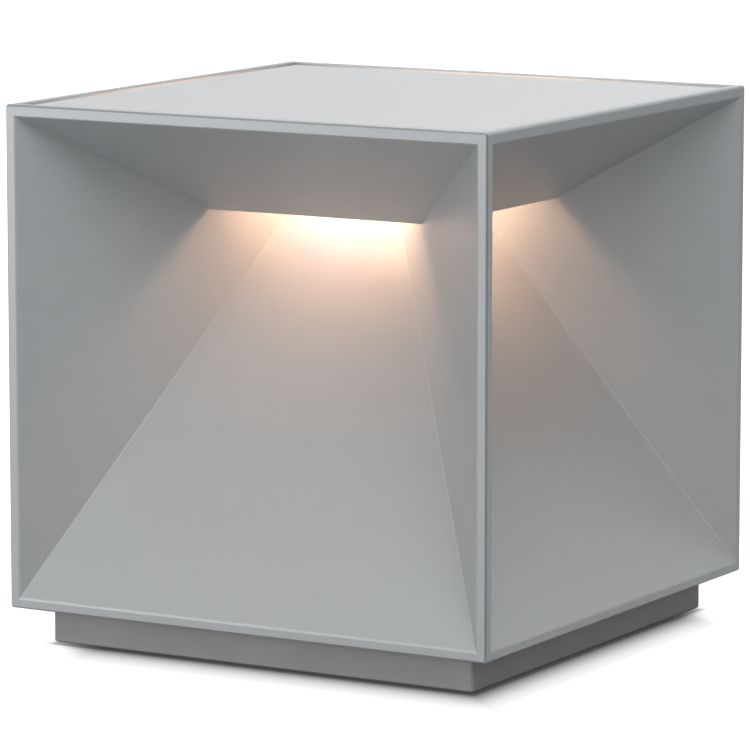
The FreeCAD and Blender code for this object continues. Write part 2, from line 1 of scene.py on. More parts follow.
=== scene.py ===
import bmesh
import bpy
import itertools
import math
from mathutils import Matrix, Vector


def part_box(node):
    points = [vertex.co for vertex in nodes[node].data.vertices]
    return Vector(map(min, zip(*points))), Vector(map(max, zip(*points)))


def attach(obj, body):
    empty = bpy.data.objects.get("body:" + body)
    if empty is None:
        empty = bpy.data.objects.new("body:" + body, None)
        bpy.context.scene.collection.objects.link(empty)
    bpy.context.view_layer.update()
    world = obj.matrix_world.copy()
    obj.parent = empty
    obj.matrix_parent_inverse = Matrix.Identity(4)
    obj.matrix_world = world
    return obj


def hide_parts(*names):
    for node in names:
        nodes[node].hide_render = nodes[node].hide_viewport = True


# A cube-shaped cordless table lamp on a pale floor, in metres.
# Z is up, the front is -Y, and the charging inlet is at the back.

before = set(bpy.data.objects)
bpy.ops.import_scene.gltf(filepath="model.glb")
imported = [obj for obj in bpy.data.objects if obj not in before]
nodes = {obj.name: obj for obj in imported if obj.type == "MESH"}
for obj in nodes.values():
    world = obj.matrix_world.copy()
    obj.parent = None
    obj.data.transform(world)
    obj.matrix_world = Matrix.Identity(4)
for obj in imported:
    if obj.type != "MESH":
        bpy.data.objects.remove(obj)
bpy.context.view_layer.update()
millimetre = 0.001

# Camera, as the photograph sees the lamp
camera_azimuth = 30.265
camera_elevation = 8.7256
camera_distance = 1.04236
aim_right = -0.001466
aim_height = 0.06
aim_up = -0.00737
lens_length = 244.32
sensor_width = 36.0
clip_near_share = 0.1
clip_far_share = 50

# Studio light: soft boxes round the lamp, each with its azimuth, elevation, size and power
light_distance = 1.5
light_target = (0.0, 0.0, 0.05)
soft_boxes = {
    "left": (-40, 5, 0.6, 8.6),
    "right": (50, 30, 1.0, 6.23),
    "front": (30, 60, 1.0, 7.97),
    "back": (180, 60, 1.0, 17.96),
    "overhead": (0, 90, 2.5, 7.49),
    "far_left": (-90, 25, 1.0, 2.0),
    "rear": (180, 15, 1.0, 1.5),
}

# White floor: the white that only the camera sees grows outwards from the plinth, leaving a painted shadow.
# Its gains say how many times narrower the painted shadow is on the left, at the back and at the ends of the
# sides that the camera sees.
floor_size = 12.0
floor_tone = 0.22
painted_shadow_reach = 7.3 * millimetre
left_gain = 6
back_gain = 4
corner_gain = 10
corner_power = 3.0
corner_reach = 14 * millimetre
white_end = 1.05
painted_shadow_start = 0.3 * millimetre

# Warm light of the LEDs
led_power = 0.035
led_bar_length = 20 * millimetre
led_bar_width = 6 * millimetre
led_lens_half = 4 * millimetre
led_clearance = 0.3 * millimetre
warm_light = (1.0, 0.58, 0.37)
lens_glow = 6.0
leak_glow = 0.5
leak_full = 0.2 * millimetre
leak_end = 0.4 * millimetre
leak_wall_reach = 20 * millimetre
leak_middle_share = 0.2
leak_side_share = 0.85

# Sizes of the lamp body that its material follows, and widths and reaches of its coat's painted light and
# shade
rim_side = 2.15 * millimetre
rim_top = 2.3 * millimetre
rim_bottom = 1.95 * millimetre
outer_edge = 0.37 * millimetre
lip_drop = 22.1 * millimetre
lip_depth = 28 * millimetre
reflector_run = 0.5189
line_width = 0.14 * millimetre
faint_line = 0.35
lip_line_width = 0.2 * millimetre
surface_margin = 0.01 * millimetre
foot_reach = 35 * millimetre
glow_start = 40 * millimetre
head_start = 71 * millimetre
head_middle = 5 * millimetre
head_side = 18 * millimetre
mouth_line = 0.5

# Tones of the lamp body's coat: the grain runs from dark to light, and some zones take painted light or
# shade
coat_dark = (0.458, 0.488, 0.504)
coat_light = (0.514, 0.544, 0.56)
painted_zone_tones = {
    # painted light: the reflector lighter towards its foot, where more light falls
    "foot": (0.54, 0.57, 0.585),
    # painted shade, darker and bluer, on the upper middle of each reflector face under the LEDs
    "head": (0.25, 0.315, 0.44),
    # painted highlights: light lines along the valleys and round the openings' mouths, fainter higher up
    "lines": (0.6, 0.63, 0.645),
    # painted shade: dark lines on the chamfers of the top edges and the upright corners
    "edges": (0.3, 0.32, 0.33),
    # painted light: the outer faces and top of the body lighter than the rest of the coat
    "outermost": (0.548, 0.578, 0.598),
    # painted light: the bottom chamfer lighter, against the shade it faces
    "underneath": (0.66, 0.69, 0.71),
}

# Grain and gloss of the coats. Most of a noise lies within its range
noise_range = (0.3, 0.7)
coat_grain = 0.22 * millimetre
coat_mottle = 6 * millimetre
grain_share = 0.8
coat_depth = 0.01 * millimetre
coat_metallic = 0.12
coat_roughness = 0.38
coat_specular = 0.85
coat_gloss_spread = 0.05
plastic_grain = 0.5 * millimetre
cloud_size_share = 30
plastic_gloss_spread = 0.08
metal_grain = 0.3 * millimetre
metal_depth = 0.01 * millimetre
metal_gloss_spread = 0.1
glow_grain = 0.3 * millimetre
glow_depth = 0.02 * millimetre
glow_roughness = 0.5
glow_tone_share = 0.9

# Moulded, printed and woven finishes: dark and light tone, roughness, grain size and depth
moulded_finishes = {
    "plinth_plastic": ((0.5, 0.513, 0.523), (0.55, 0.565, 0.575), 0.5, plastic_grain, 0.03 * millimetre),
    "flap_rubber": ((0.4, 0.41, 0.42), (0.45, 0.46, 0.47), 0.62, plastic_grain, 0.03 * millimetre),
    "black_rubber": ((0.02, 0.02, 0.02), (0.03, 0.03, 0.03), 0.7, plastic_grain, 0.04 * millimetre),
    "lead_sleeve": ((0.015, 0.015, 0.016), (0.03, 0.03, 0.03), 0.5, plastic_grain, 0.02 * millimetre),
    "pad_silicone": ((0.3, 0.38, 0.45), (0.36, 0.43, 0.5), 0.6, plastic_grain, 0.03 * millimetre),
    "board_white": ((0.78, 0.78, 0.75), (0.84, 0.84, 0.82), 0.35, plastic_grain, 0.01 * millimetre),
    "board_green": ((0.01, 0.09, 0.04), (0.015, 0.13, 0.06), 0.3, plastic_grain, 0.01 * millimetre),
    "chip_black": ((0.012, 0.012, 0.013), (0.025, 0.025, 0.025), 0.45, plastic_grain, 0.01 * millimetre),
    "cell_wrap": ((0.02, 0.09, 0.2), (0.03, 0.11, 0.25), 0.3, 2 * plastic_grain, 0.01 * millimetre),
    "holder_plastic": ((0.015, 0.015, 0.016), (0.03, 0.03, 0.03), 0.5, plastic_grain, 0.03 * millimetre),
    "strap_weave": ((0.01, 0.01, 0.012), (0.03, 0.03, 0.035), 0.8, plastic_grain, 0.1 * millimetre),
    "foam_tape": ((0.6, 0.6, 0.56), (0.7, 0.7, 0.66), 0.8, plastic_grain, 0.08 * millimetre),
}

# Coats and sheet: dark and light tone, metallic, specular, lowest and highest roughness, grain depth
coated_finishes = {
    "panel_coat": ((0.545, 0.552, 0.56), (0.565, 0.572, 0.58), 0.05, 0.2, 0.46, 0.52, 0.006 * millimetre),
    "plate_metal": ((0.42, 0.43, 0.44), (0.5, 0.51, 0.52), 0.8, 0.5, 0.4, 0.5, 0.01 * millimetre),
}

# Plated and bare metals: dark and light tone, roughness
metal_finishes = {
    "screw_steel": ((0.45, 0.45, 0.46), (0.6, 0.6, 0.62), 0.35),
    "nickel": ((0.6, 0.58, 0.54), (0.72, 0.7, 0.66), 0.25),
    "contact_metal": ((0.7, 0.5, 0.2), (0.8, 0.6, 0.28), 0.3),
    "copper_wire": ((0.55, 0.2, 0.08), (0.7, 0.28, 0.12), 0.35),
}

# Surfaces that give off the warm light: tone
glowing_finishes = {
    "led_phosphor": ((0.9, 0.6, 0.2),),
    "lens_frosted": ((0.9, 0.85, 0.75),),
}

# Carried-over nodes that wear each finish
wearers = {
    "powder_coat": ["lamp_body", "reflector_plates", "shade"],
    "panel_coat": ["top_panel"],
    "plate_metal": ["base_plate"],
    "plinth_plastic": ["plinth"],
    "flap_rubber": ["charge_flap"],
    "black_rubber": ["rubber_feet", "lead_grommet", "panel_gasket", "plinth_seal"],
    "lead_sleeve": ["led_lead", "battery_lead"],
    "pad_silicone": ["thermal_pad"],
    "board_white": ["led_board"],
    "board_green": ["control_board"],
    "chip_black": ["board_parts"],
    "cell_wrap": ["battery_cells"],
    "holder_plastic": ["battery_holder"],
    "strap_weave": ["battery_strap"],
    "foam_tape": ["holder_tapes"],
    "screw_steel": ["led_board_screws", "plinth_screws", "board_screws", "flap_pin"],
    "nickel": ["usb_socket", "cell_tabs"],
    "contact_metal": ["touch_contact"],
    "led_phosphor": ["led_chips"],
    "lens_frosted": ["led_lenses"],
}

# Detailed pieces: points of a ring, and the angle from which an edge looks sharp
ring_points = 24
sharp_angle = math.radians(35)

# Sizes of the detailed pieces, in millimetres, where a profile is a row of radii and heights
plinth_screw = {"every": 1, "up": -1, "radius": 1.5, "head_radius": 2.75, "head_height": 2.4, "socket": 1.4}
led_board_screw = {"every": 1, "up": 1, "radius": 1.2, "head_radius": 2.2, "head_height": 0.9, "socket": 1.0}
board_screw = {"every": 2, "up": 1, "radius": 1.0, "head_radius": 1.9, "head_height": 1.2, "socket": 0.9}
thread_pitch_share = 0.35
thread_core_share = 0.86
thread_tip_share = 0.6
head_profile_shares = [(1.0, 0.0), (1.0, 0.55), (0.93, 0.87), (0.8, 1.0)]
socket_depth_share = 0.45
foot_profile = [(0.5, 0.5), (1.3, 0.3), (1.6, 0), (4.4, 0), (4.5, 0.25), (4.9, 0.25), (5.0, 0), (5.6, 0),
                (5.9, 0.12), (6.0, 0.4), (6.0, 1.35), (5.85, 1.5), (0.5, 1.5)]
foot_radius = max(radius for radius, z in foot_profile)
led_pitch = 7.0
led_steps = (-1, 0, 1)
led_package_squares = [(1.75, 0), (1.75, -0.65), (1.62, -0.8)]
led_well_profile = [(1.4, -0.8), (1.2, -0.5)]
led_dome_profile = [(1.19, -0.52), (0.9, -0.58), (0.4, -0.61)]
cell_wrap_profile = [(7.6, -32.5), (8.9, -32.5), (9.2, -32.2), (9.2, 29.2), (8.95, 29.5), (8.95, 30.2),
                     (9.2, 30.5), (9.2, 31.6), (8.9, 31.9), (7.4, 31.9), (7.2, 31.7)]
cell_base_profile = [(7.6, -32.45), (7.5, -32.49), (2.0, -32.5)]
cell_button_profile = [(3.0, 31.7), (3.0, 32.3), (2.8, 32.5), (0.8, 32.5)]
cell_washer_profile = [(7.6, 31.7), (7.6, 31.86), (3.2, 31.86), (3.1, 31.7)]
chip_size = (4.2, 4.2, 0.8)
chip_middle = 0.5
chip_rounding = 0.08
leg_pitch = 0.9
leg_steps = (-1.5, -0.5, 0.5, 1.5)
leg_foot = {"out": 2.35, "rise": 0.06, "across": 0.32, "deep": 0.3, "tall": 0.12}
leg_upright = {"out": 2.16, "rise": 0.24, "across": 0.32, "deep": 0.14, "tall": 0.44}
leg_rounding = 0.02
inductor_squares = [(3.0, 0), (3.0, 0.5), (2.9, 0.6)]
inductor_profile = [(1.6, 0.6), (1.6, 2.4), (2.75, 2.4), (2.85, 2.5), (2.85, 2.9), (2.7, 3.0)]
winding_turns = 12
winding_pitch = 0.155
winding_low = 0.65
winding_radius = 2.3
winding_bulge = 0.12
winding_start = [(1.7, 0.62)]
winding_end = [(1.7, 2.38)]
capacitor_profile = [(1.8, 0), (2.0, 0.15), (2.0, 0.5), (1.86, 0.62), (1.86, 0.72), (2.0, 0.85), (2.0, 3.8),
                     (1.85, 4.0), (1.6, 3.97), (1.55, 3.9)]
plug_size = (6.0, 5.0, 3.8)
plug_middle = 1.9
plug_rounding = 0.25
rib_places = (-1.6, 1.6)
rib_size = (0.9, 4.0, 0.3)
rib_middle = 3.85
rib_rounding = 0.08
contact_count = 8
contact_pitch = 0.75
contact_setback = 3.6
contact_rise = 0.36
contact_size = (0.38, 4.0, 0.03)
contact_rounding = 0.01
weld_inset = 3
weld_step = 1
weld_profile = [(0.5, 0), (0.45, 0.03), (0.3, 0.05), (0.1, 0.02)]


# Node helpers
def new_material(name):
    """Empty material with a node tree."""
    material = bpy.data.materials.new(name)
    material.use_nodes = True
    material.node_tree.nodes.clear()
    return material


def add(material, kind, **settings):
    """New node of a kind, with its settings."""
    node = material.node_tree.nodes.new(kind)
    for key, value in settings.items():
        setattr(node, key, value)
    return node


def link(material, output, socket):
    """Wire a node's output to a socket."""
    material.node_tree.links.new(output, socket)


def place_of(material):
    """Position on the piece, in metres."""
    return add(material, "ShaderNodeTexCoord").outputs["Object"]


def noise(material, size, detail=2.0, roughness=0.5):
    """Noise whose features are about as large as size."""
    node = add(material, "ShaderNodeTexNoise")
    node.inputs["Scale"].default_value = 1 / size
    node.inputs["Detail"].default_value = detail
    node.inputs["Roughness"].default_value = roughness
    link(material, place_of(material), node.inputs["Vector"])
    return node.outputs["Fac"]


def spread(material, value, low, high, source=noise_range):
    """The value stretched from its source range to low and high."""
    node = add(material, "ShaderNodeMapRange")
    node.inputs["From Min"].default_value = source[0]
    node.inputs["From Max"].default_value = source[1]
    node.inputs["To Min"].default_value = low
    node.inputs["To Max"].default_value = high
    link(material, value, node.inputs["Value"])
    return node.outputs["Result"]


def uneven(material, grain, middle, reach):
    """Values round a middle one, which follow a grain."""
    return spread(material, grain, middle - reach, middle + reach)


def blend_colour(material, factor, first, second):
    """Mix of two colours, each a tuple or another node's output."""
    node = add(material, "ShaderNodeMix", data_type="RGBA")
    inputs = {(socket.name, socket.type): socket for socket in node.inputs}
    for name, value in (("A", first), ("B", second)):
        if isinstance(value, tuple):
            inputs[name, "RGBA"].default_value = (*value, 1)
        else:
            link(material, value, inputs[name, "RGBA"])
    link(material, factor, inputs["Factor", "VALUE"])
    return [socket for socket in node.outputs if socket.type == "RGBA"][0]


def compute(material, operation, first, second=None):
    """Sum, product or comparison of numbers and node outputs."""
    node = add(material, "ShaderNodeMath", operation=operation)
    for socket, value in zip(node.inputs, (first, second)):
        if value is None:
            continue
        if isinstance(value, (int, float)):
            socket.default_value = value
        else:
            link(material, value, socket)
    return node.outputs["Value"]


def bump(material, height, distance):
    """Surface direction of a grain that stands out by a distance."""
    node = add(material, "ShaderNodeBump")
    node.inputs["Distance"].default_value = distance
    link(material, height, node.inputs["Height"])
    return node.outputs["Normal"]


def surface(material, **values):
    """Principled shader whose inputs are constants or node outputs, wired to the output."""
    shader = add(material, "ShaderNodeBsdfPrincipled")
    output = add(material, "ShaderNodeOutputMaterial")
    for key, value in values.items():
        socket = shader.inputs[key.replace("_", " ")]
        if isinstance(value, (int, float)):
            socket.default_value = value
        elif isinstance(value, tuple):
            socket.default_value = (*value, 1)
        else:
            link(material, value, socket)
    link(material, shader.outputs["BSDF"], output.inputs["Surface"])
    return material


def limits(material, value, low, high):
    """One where the value lies between two limits, else zero."""
    return compute(material, "MULTIPLY", compute(material, "GREATER_THAN", value, low),
                   compute(material, "LESS_THAN", value, high))


def within(material, distance, width):
    """One where a point is closer than a width, else zero."""
    return compute(material, "LESS_THAN", compute(material, "ABSOLUTE", distance), width)


def either(material, *masks):
    """Largest of the masks at each point."""
    whole = masks[0]
    for mask in masks[1:]:
        whole = compute(material, "MAXIMUM", whole, mask)
    return whole


def both(material, *masks):
    """Product of the masks at each point."""
    whole = masks[0]
    for mask in masks[1:]:
        whole = compute(material, "MULTIPLY", whole, mask)
    return whole


class BodyPlace:
    """Where a point lies on the lamp body, folded onto one of the four like sides."""

    def __init__(self, material):
        low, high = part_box("lamp_body")
        self.material = material
        self.half = high.x
        self.bottom = low.z
        self.top = high.z
        parts = add(material, "ShaderNodeSeparateXYZ")
        link(material, place_of(material), parts.inputs["Vector"])
        self.x, self.y, self.z = (parts.outputs[axis] for axis in "XYZ")
        flat = [compute(material, "ABSOLUTE", value) for value in (self.x, self.y)]
        self.out = compute(material, "MAXIMUM", *flat)
        self.aside = compute(material, "MINIMUM", *flat)

    def plane(self, out_share, aside_share, z_share, offset):
        """Distance from a plane, given by its shares of the three directions and an offset."""
        length = math.sqrt(out_share ** 2 + aside_share ** 2 + z_share ** 2)
        shares = ((self.out, out_share), (self.aside, aside_share), (self.z, z_share))
        whole = -offset / length
        for value, share in shares:
            if share:
                term = compute(self.material, "MULTIPLY", value, share / length)
                whole = compute(self.material, "ADD", term, whole)
        return whole

    def fin(self):
        """Distance from the face of the nearest fin."""
        return self.plane(1, -1, 0, rim_side)

    def reflector(self):
        """Distance from the pyramid's sloping face."""
        return self.plane(1, 0, reflector_run, self.half + (self.bottom + rim_bottom) * reflector_run)

    def soffit(self):
        """Distance from the shade's sloping underside."""
        fall = (lip_drop - rim_top) / lip_depth
        return self.plane(fall, 0, -1, fall * self.half - (self.top - rim_top))


# Materials
def painted_highlight_lines(material, place):
    """Mask of the painted highlight lines along the valleys and round the mouths of the openings."""
    inside_rim = limits(material, place.out, place.half - lip_line_width, place.half - surface_margin)
    opening_height = limits(material, place.z, place.bottom + rim_bottom - lip_line_width,
                            place.top - rim_top + lip_line_width)
    opening_width = compute(material, "LESS_THAN", place.aside, place.half - rim_side + lip_line_width)
    mouth = both(material, inside_rim, opening_height, opening_width)
    at_fin = within(material, place.fin(), line_width)
    low_valley = both(material, at_fin, within(material, place.reflector(), line_width))
    high_valley = both(material, at_fin, within(material, place.soffit(), line_width),
                       compute(material, "GREATER_THAN", place.out, place.half - lip_depth))
    fading = spread(material, place.z, 1.0, faint_line, source=(glow_start, head_start))
    return either(material, compute(material, "MULTIPLY", mouth, mouth_line),
                  both(material, either(material, low_valley, high_valley), fading))


def painted_light_and_shade_zones(material, place):
    """Masks of the zones of painted light and shade, in the order in which they cover each other."""
    on_reflector = within(material, place.reflector(), line_width)
    to_foot = spread(material, place.z, 1.0, 0.0, source=(place.bottom, place.bottom + foot_reach))
    to_head = spread(material, place.z, 0.0, 1.0, source=(head_start, place.top - lip_drop))
    to_middle = spread(material, place.aside, 1.0, 0.0, source=(head_middle, head_side))
    chamfer = limits(material, place.out, place.half - outer_edge, place.half - surface_margin)
    at_ends = either(material, compute(material, "GREATER_THAN", place.z, place.top - outer_edge),
                     compute(material, "GREATER_THAN", place.aside, place.half - outer_edge))
    outermost = either(material, compute(material, "GREATER_THAN", place.out, place.half - surface_margin),
                       compute(material, "GREATER_THAN", place.z, place.top - surface_margin))
    at_bottom = compute(material, "LESS_THAN", place.z, place.bottom + outer_edge)
    return {
        # painted light, lighter towards the reflector's foot
        "foot": both(material, on_reflector, to_foot),
        # painted shade under the LEDs, at the middle of each face
        "head": both(material, on_reflector, to_head, to_middle),
        # painted highlight lines
        "lines": painted_highlight_lines(material, place),
        # painted shade on the top and corner chamfers
        "edges": both(material, chamfer, at_ends),
        # painted light on the outer faces
        "outermost": outermost,
        # painted light on the bottom chamfer
        "underneath": both(material, chamfer, at_bottom),
    }


def leak_mask(material, place):
    """Light that leaks up past the panel onto the rim's inner wall, most at the middle of each edge."""
    panel_low, panel_high = (corner.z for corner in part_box("top_panel"))
    facing = add(material, "ShaderNodeSeparateXYZ")
    link(material, add(material, "ShaderNodeTexCoord").outputs["Normal"], facing.inputs["Vector"])
    across = compute(material, "MULTIPLY", place.x, facing.outputs["X"])
    along = compute(material, "MULTIPLY", place.y, facing.outputs["Y"])
    inward = compute(material, "LESS_THAN", compute(material, "ADD", across, along), -leak_wall_reach)
    height = spread(material, place.z, 1.0, 0.0, source=(panel_high + leak_full, panel_high + leak_end))
    above = compute(material, "GREATER_THAN", place.z, panel_low)
    fade = spread(material, place.aside, 1.0, 0.0,
                  source=(leak_middle_share * place.half, leak_side_share * place.half))
    return both(material, fade, inward, above, height)


def powder_coat():
    """Fine-textured satin powder coat of the lamp body, with painted light and shade and a painted leak
    glow.
    """
    material = new_material("powder_coat")
    place = BodyPlace(material)
    grain = noise(material, coat_grain, detail=3.0, roughness=0.6)
    mottle = noise(material, coat_mottle, detail=2.0)
    tone = compute(material, "ADD", compute(material, "MULTIPLY", grain, grain_share),
                   compute(material, "MULTIPLY", mottle, 1 - grain_share))
    colour = blend_colour(material, spread(material, tone, 0.0, 1.0), coat_dark, coat_light)
    # Painted light and shade, laid zone by zone over the coat's grain
    for zone, mask in painted_light_and_shade_zones(material, place).items():
        colour = blend_colour(material, mask, colour, painted_zone_tones[zone])
    return surface(
        material,
        Base_Color=colour,
        Metallic=coat_metallic,
        Roughness=uneven(material, grain, coat_roughness, coat_gloss_spread),
        Specular_IOR_Level=coat_specular,
        Normal=bump(material, grain, coat_depth),
        Emission_Color=warm_light,
        Emission_Strength=compute(material, "MULTIPLY", leak_mask(material, place), leak_glow))


def coated_metal(name, dark, light, metallic, specular, rough_low, rough_high, grain_depth):
    """Satin coat or bare finish over metal, a little uneven in tone and gloss."""
    material = new_material(name)
    grain = noise(material, coat_grain, detail=3.0, roughness=0.6)
    return surface(
        material,
        Base_Color=blend_colour(material, spread(material, grain, 0.0, 1.0), dark, light),
        Metallic=metallic,
        Specular_IOR_Level=specular,
        Roughness=spread(material, grain, rough_low, rough_high),
        Normal=bump(material, grain, grain_depth))


def moulded(name, dark, light, roughness, grain_size, grain_depth):
    """Moulded plastic or rubber with a fine spark-eroded texture."""
    material = new_material(name)
    grain = noise(material, grain_size, detail=3.0, roughness=0.65)
    cloud = noise(material, cloud_size_share * grain_size)
    return surface(
        material,
        Base_Color=blend_colour(material, spread(material, cloud, 0.0, 1.0), dark, light),
        Roughness=uneven(material, grain, roughness, plastic_gloss_spread),
        Normal=bump(material, grain, grain_depth))


def plated(name, dark, light, roughness):
    """Bare or plated metal with fine scratches."""
    material = new_material(name)
    grain = noise(material, metal_grain, detail=4.0, roughness=0.7)
    return surface(
        material,
        Base_Color=blend_colour(material, spread(material, grain, 0.0, 1.0), dark, light),
        Metallic=1.0,
        Roughness=uneven(material, grain, roughness, metal_gloss_spread),
        Normal=bump(material, grain, metal_depth))


def glowing(name, colour):
    """Frosted or phosphor surface that gives off the warm light."""
    material = new_material(name)
    grain = noise(material, glow_grain)
    return surface(
        material,
        Base_Color=blend_colour(material, spread(material, grain, 0.0, 1.0), colour,
                                tuple(glow_tone_share * value for value in colour)),
        Roughness=glow_roughness,
        Emission_Color=warm_light,
        Emission_Strength=lens_glow,
        Normal=bump(material, grain, glow_depth))


# Detailed pieces
def ring(radius, z, corners=0, turn=0.0):
    """Level ring of points round the axis: a circle, or a polygon of that many corners."""
    points = []
    for place in range(ring_points):
        angle = 2 * math.pi * place / ring_points
        reach = radius
        if corners:
            sector = 2 * math.pi / corners
            reach = radius * math.cos(sector / 2) / math.cos(angle % sector - sector / 2)
        points.append(Vector((reach * math.cos(angle + turn), reach * math.sin(angle + turn), z)))
    return points


def squares(rows):
    """Level square rings, from pairs of half a side and height in millimetres."""
    return [ring(half * millimetre * math.sqrt(2), z * millimetre, corners=4, turn=math.pi / 4)
            for half, z in rows]


def circles(rows):
    """Rings for a turned form, from pairs of radius and height in millimetres."""
    return [ring(radius * millimetre, z * millimetre) for radius, z in rows]


def loft(shape, rings, place, turn=None):
    """Skin over a row of rings with as many points each, closed at both ends."""
    loops = []
    for points in rings:
        if turn:
            points = [turn @ point for point in points]
        loops.append([shape.verts.new(point + Vector(place)) for point in points])
    for low, high in zip(loops, loops[1:]):
        for index, corner in enumerate(low):
            after = (index + 1) % len(low)
            shape.faces.new((corner, low[after], high[after], high[index]))
    shape.faces.new(loops[0])
    shape.faces.new(loops[-1])


def small_box(shape, middle, size, rounding):
    """Block with rounded edges, from its middle and size in millimetres."""
    corners = bmesh.ops.create_cube(shape, size=1.0)["verts"]
    for corner in corners:
        corner.co = Vector([(m + s * c) * millimetre for m, s, c in zip(middle, size, corner.co)])
    edges = list(dict.fromkeys(edge for corner in corners for edge in corner.link_edges))
    bmesh.ops.bevel(shape, geom=edges, offset=rounding * millimetre, segments=2, profile=0.5,
                    affect="EDGES")


def mesh_piece(name, shape, material, finish, *stands_for):
    """Turn a bmesh into a piece of the lamp that stands for CAD nodes."""
    bmesh.ops.recalc_face_normals(shape, faces=shape.faces)
    for face in shape.faces:
        face.smooth = True
    for edge in shape.edges:
        edge.smooth = edge.calc_face_angle(0.0) < sharp_angle
    mesh = bpy.data.meshes.new(name)
    shape.to_mesh(mesh)
    shape.free()
    mesh.materials.append(material)
    piece = bpy.data.objects.new(name, mesh)
    bpy.context.collection.objects.link(piece)
    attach(piece, "lamp")
    if stands_for:
        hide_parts(*stands_for)


def corners_of(node, inset):
    """Places set in from the four corners of a node's box, in turn round it."""
    low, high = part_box(node)
    left, right = low.x + inset, high.x - inset
    front, back = low.y + inset, high.y - inset
    return [(left, front), (right, front), (right, back), (left, back)]


def make_screws(node, material, every, up, radius, head_radius, head_height, socket):
    """Screws with thread ridges, rounded heads and six-sided sockets, at all or every second corner."""
    low, high = (corner.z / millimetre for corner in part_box(node))
    length = high - low - head_height
    seat = high - head_height if up > 0 else low + head_height
    pitch = thread_pitch_share * radius
    core = radius * thread_core_share
    rows = [(core * thread_tip_share, -length), (core, -length + pitch)]
    for ridge in range(int((length - 3 * pitch) / pitch)):
        start = -length + (1 + ridge) * pitch
        rows += [(radius, start + pitch / 2), (core, start + pitch)]
    rows += [(radius, -pitch), (radius, 0)]
    rows += [(head_radius * out, head_height * rise) for out, rise in head_profile_shares]
    rings = circles(rows)
    for share in (1.0, socket_depth_share):
        rings.append(ring(socket * millimetre, head_height * share * millimetre, corners=6))
    turned = [[Vector((point.x, point.y, up * point.z)) for point in points] for points in rings]
    shape = bmesh.new()
    for x, y in corners_of(node, head_radius * millimetre)[::every]:
        loft(shape, turned, (x, y, seat * millimetre))
    mesh_piece(node + "_turned", shape, material, "screw_steel", node)


def make_feet(material):
    """Rubber feet with rounded rims, a ring groove and a dimple underneath."""
    shape = bmesh.new()
    for x, y in corners_of("rubber_feet", foot_radius * millimetre):
        loft(shape, circles(foot_profile), (x, y, 0))
    mesh_piece("rubber_feet_moulded", shape, material, "black_rubber", "rubber_feet")


def make_leds(package, phosphor):
    """LED packages with a round well, and the domed phosphor inside each."""
    bodies, domes = bmesh.new(), bmesh.new()
    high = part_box("led_chips")[1]
    distance = high.x - led_package_squares[0][0] * millimetre
    for side in range(4):
        turn = Matrix.Rotation(math.radians(90 * side), 3, "Z")
        for step in led_steps:
            spot = turn @ Vector((step * led_pitch * millimetre, -distance, high.z))
            loft(bodies, squares(led_package_squares) + circles(led_well_profile), spot)
            loft(domes, circles(led_dome_profile), spot)
    mesh_piece("led_packages", bodies, package, "led_phosphor", "led_chips")
    mesh_piece("led_domes", domes, phosphor, "led_phosphor")


def make_cells(wrap, metal, washer):
    """Round cells with a shrink wrap, a crimped neck, bare ends and a button."""
    wraps, ends, washers = bmesh.new(), bmesh.new(), bmesh.new()
    low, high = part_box("battery_cells")
    radius = (high.z - low.z) / 2
    along = Matrix.Rotation(math.radians(90), 3, "Y")
    for y in (low.y + radius, high.y - radius):
        middle = (0, y, (low.z + high.z) / 2)
        loft(wraps, circles(cell_wrap_profile), middle, along)
        loft(ends, circles(cell_base_profile), middle, along)
        loft(ends, circles(cell_button_profile), middle, along)
        loft(washers, circles(cell_washer_profile), middle, along)
    mesh_piece("cell_wraps", wraps, wrap, "cell_wrap", "battery_cells")
    mesh_piece("cell_ends", ends, metal, "nickel")
    mesh_piece("cell_washers", washers, washer, "foam_tape")


def make_chip_legs(shape, middle):
    """Four bent legs on each side of a chip, each a foot and an upright."""
    for side in range(4):
        turn = Matrix.Rotation(math.radians(90 * side), 3, "Z")
        for step in leg_steps:
            for part in (leg_foot, leg_upright):
                spot = middle + turn @ Vector((step * leg_pitch, -part["out"], part["rise"]))
                size = (part["across"], part["deep"], part["tall"])
                if side % 2:
                    size = (part["deep"], part["across"], part["tall"])
                small_box(shape, spot, size, leg_rounding)


def make_board_parts(black, copper, cream, solder):
    """Plug, chips with legs, wound inductor and capacitor on the control board."""
    blacks, coils, creams, legs = bmesh.new(), bmesh.new(), bmesh.new(), bmesh.new()
    low, high = (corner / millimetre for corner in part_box("board_parts"))
    inductor_half = inductor_squares[0][0]
    chip_half = leg_foot["out"] + leg_foot["deep"] / 2
    inductor = Vector((high.x - inductor_half, high.y - inductor_half, low.z))
    capacitor = Vector((-inductor.x, low.y + plug_size[1] / 2, low.z))
    for x in (low.x + chip_half, 0):
        chip = Vector((x, inductor.y, low.z))
        small_box(blacks, chip + Vector((0, 0, chip_middle)), chip_size, chip_rounding)
        make_chip_legs(legs, chip)
    loft(blacks, squares(inductor_squares) + circles(inductor_profile), inductor * millimetre)
    turns = [(winding_radius + winding_bulge * (step % 2), winding_low + winding_pitch * step)
             for step in range(winding_turns)]
    loft(coils, circles(winding_start + turns + winding_end), inductor * millimetre)
    loft(blacks, circles(capacitor_profile), capacitor * millimetre)
    small_box(creams, (0, capacitor.y, low.z + plug_middle), plug_size, plug_rounding)
    for x in rib_places:
        small_box(creams, (x, capacitor.y, low.z + rib_middle), rib_size, rib_rounding)
    mesh_piece("board_chips", blacks, black, "chip_black", "board_parts")
    mesh_piece("board_coil", coils, copper, "contact_metal")
    mesh_piece("board_plug", creams, cream, "foam_tape")
    mesh_piece("chip_legs", legs, solder, "nickel")


